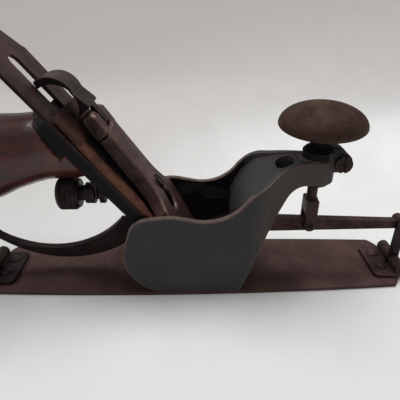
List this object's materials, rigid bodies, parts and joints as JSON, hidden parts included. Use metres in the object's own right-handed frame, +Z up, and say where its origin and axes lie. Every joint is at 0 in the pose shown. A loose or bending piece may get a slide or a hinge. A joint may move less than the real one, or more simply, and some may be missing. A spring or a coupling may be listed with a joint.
{
  "type": "compass plane",
  "caption": "Adjustable compass plane with a flexible steel sole, knob, geared levers and a turned wooden handle, aged iron and steel",
  "frame": {"origin": "middle of the sole's underside", "axes": "+X towards the toe, +Z up off the work, +Y to the far side"},
  "size_m": [0.2729, 0.0546, 0.1439],
  "materials": {
    "cast_body": "black japanning worn thin over cast iron, dull sheen",
    "worn_steel": "steel under an even reddish brown rust patina",
    "screw_steel": "small turned steel pieces, dark with old rust",
    "knob_iron": "brown rusted cast iron with a rough crown",
    "iron_steel": "tool steel with brown grey patina",
    "rusty_iron": "steel with orange rust",
    "worn_iron": "cast iron with worn plating, brown grey",
    "dark_brass": "brass gone nearly black",
    "rosewood": "varnished reddish brown hardwood with a high gloss"
  },
  "bodies": {
    "casting": {"body": "cast_body", "sole": "worn_steel", "sole_screws": "screw_steel", "lever_cap": "worn_iron", "lever_cap_screw": "screw_steel", "cap_spring": "screw_steel", "spring_rivet": "screw_steel", "cam_pin": "screw_steel", "depth_stud": "screw_steel", "depth_lever_pin": "screw_steel", "handle": "rosewood", "handle_bolt": "screw_steel", "handle_nut": "dark_brass"},
    "knob_part": {"knob": "knob_iron", "stem_ring": "screw_steel"},
    "rod_part": {"adjusting_rod": "worn_steel", "fork_pin": "screw_steel"},
    "front_arm": {"front_lever": "worn_steel", "front_shaft": "screw_steel", "front_sector": "screw_steel", "front_link_pin": "screw_steel"},
    "rear_arm": {"rear_lever": "worn_steel", "rear_shaft": "screw_steel", "rear_sector": "screw_steel", "rear_link_pin": "screw_steel"},
    "front_link_part": {"front_link": "worn_steel"},
    "rear_link_part": {"rear_link": "worn_steel"},
    "toe_part": {"toe_bracket": "worn_steel", "toe_rivets": "worn_steel", "toe_hinge_pin": "screw_steel"},
    "heel_part": {"heel_bracket": "worn_steel", "heel_rivets": "worn_steel", "heel_hinge_pin": "screw_steel"},
    "clamp_part": {"clamp_screw": "screw_steel"},
    "cam_part": {"cam_lever": "worn_iron"},
    "iron_part": {"cutter": "iron_steel", "cap_iron": "rusty_iron", "cap_iron_screw": "screw_steel"},
    "depth_fork_part": {"depth_lever": "screw_steel"},
    "nut_part": {"depth_nut": "dark_brass"}
  },
  "joints": [
    {"name": "knob_spin", "type": "hinge", "parent": "casting", "child": "knob_part", "pos_m": [0.0693, 0, 0.095], "axis": [0, 0, -1], "range_deg": [-790.68, 790.68]},
    {"name": "rod_slide", "type": "slide", "parent": "casting", "child": "rod_part", "axis": [0, 0, 1], "range_m": [-0.00339, 0.00339]},
    {"name": "front_swing", "type": "hinge", "parent": "casting", "child": "front_arm", "pos_m": [0.0315, 0, 0.033], "axis": [0, -1, 0], "range_deg": [-5.15, 5.15]},
    {"name": "rear_swing", "type": "hinge", "parent": "casting", "child": "rear_arm", "pos_m": [-0.034, 0, 0.033], "axis": [0, 1, 0], "range_deg": [-5.15, 5.15]},
    {"name": "front_link_swing", "type": "hinge", "parent": "front_arm", "child": "front_link_part", "pos_m": [0.1265, 0, 0.033], "axis": [0, 1, 0], "range_deg": [-6.96, 6.96]},
    {"name": "rear_link_swing", "type": "hinge", "parent": "rear_arm", "child": "rear_link_part", "pos_m": [-0.1265, 0, 0.0315], "axis": [0, -1, 0], "range_deg": [-7.43, 7.43]},
    {"name": "toe_flex", "type": "hinge", "parent": "casting", "child": "toe_part", "pos_m": [0.067, 0, 0.001], "axis": [0, -1, 0], "range_deg": [-8.21, 8.21], "deforming": ["sole"]},
    {"name": "heel_flex", "type": "hinge", "parent": "casting", "child": "heel_part", "pos_m": [-0.07, 0, 0.001], "axis": [0, 1, 0], "range_deg": [-8.42, 8.42], "deforming": ["sole"]},
    {"name": "clamp_turn", "type": "hinge", "parent": "casting", "child": "clamp_part", "pos_m": [0.0811, -0.009, 0.0752], "axis": [0, 1, 0], "range_deg": [-90, 270]},
    {"name": "cam_open", "type": "hinge", "parent": "casting", "child": "cam_part", "pos_m": [-0.05123, 0, 0.09825], "axis": [0, 1, 0], "range_deg": [0, 95]},
    {"name": "depth_slide", "type": "slide", "parent": "casting", "child": "nut_part", "axis": [1, 0, 0], "range_m": [-0.00115, 0.00115]},
    {"name": "depth_swing", "type": "hinge", "parent": "casting", "child": "depth_fork_part", "pos_m": [-0.05068, 0, 0.06442], "axis": [0, -1, 0], "range_deg": [-7.2, 7.2]},
    {"name": "iron_slide", "type": "slide", "parent": "casting", "child": "iron_part", "axis": [-0.6157, 0, 0.788], "range_m": [-0.00138, 0.00138]}
  ],
  "couplings": [
    {"joint": "rod_slide", "follows": "knob_spin", "m_per_rad": 0.00023873},
    {"joint": "front_swing", "follows": "knob_spin", "ratio": 0.006322},
    {"joint": "rear_swing", "follows": "knob_spin", "ratio": 0.006322},
    {"joint": "front_link_swing", "follows": "knob_spin", "ratio": 0.0085456},
    {"joint": "rear_link_swing", "follows": "knob_spin", "ratio": 0.0091216},
    {"joint": "toe_flex", "follows": "knob_spin", "ratio": 0.010082},
    {"joint": "heel_flex", "follows": "knob_spin", "ratio": 0.010336},
    {"joint": "depth_swing", "follows": "depth_slide", "rad_per_m": 106.16},
    {"joint": "iron_slide", "follows": "depth_slide", "ratio": 1.1677}
  ]
}
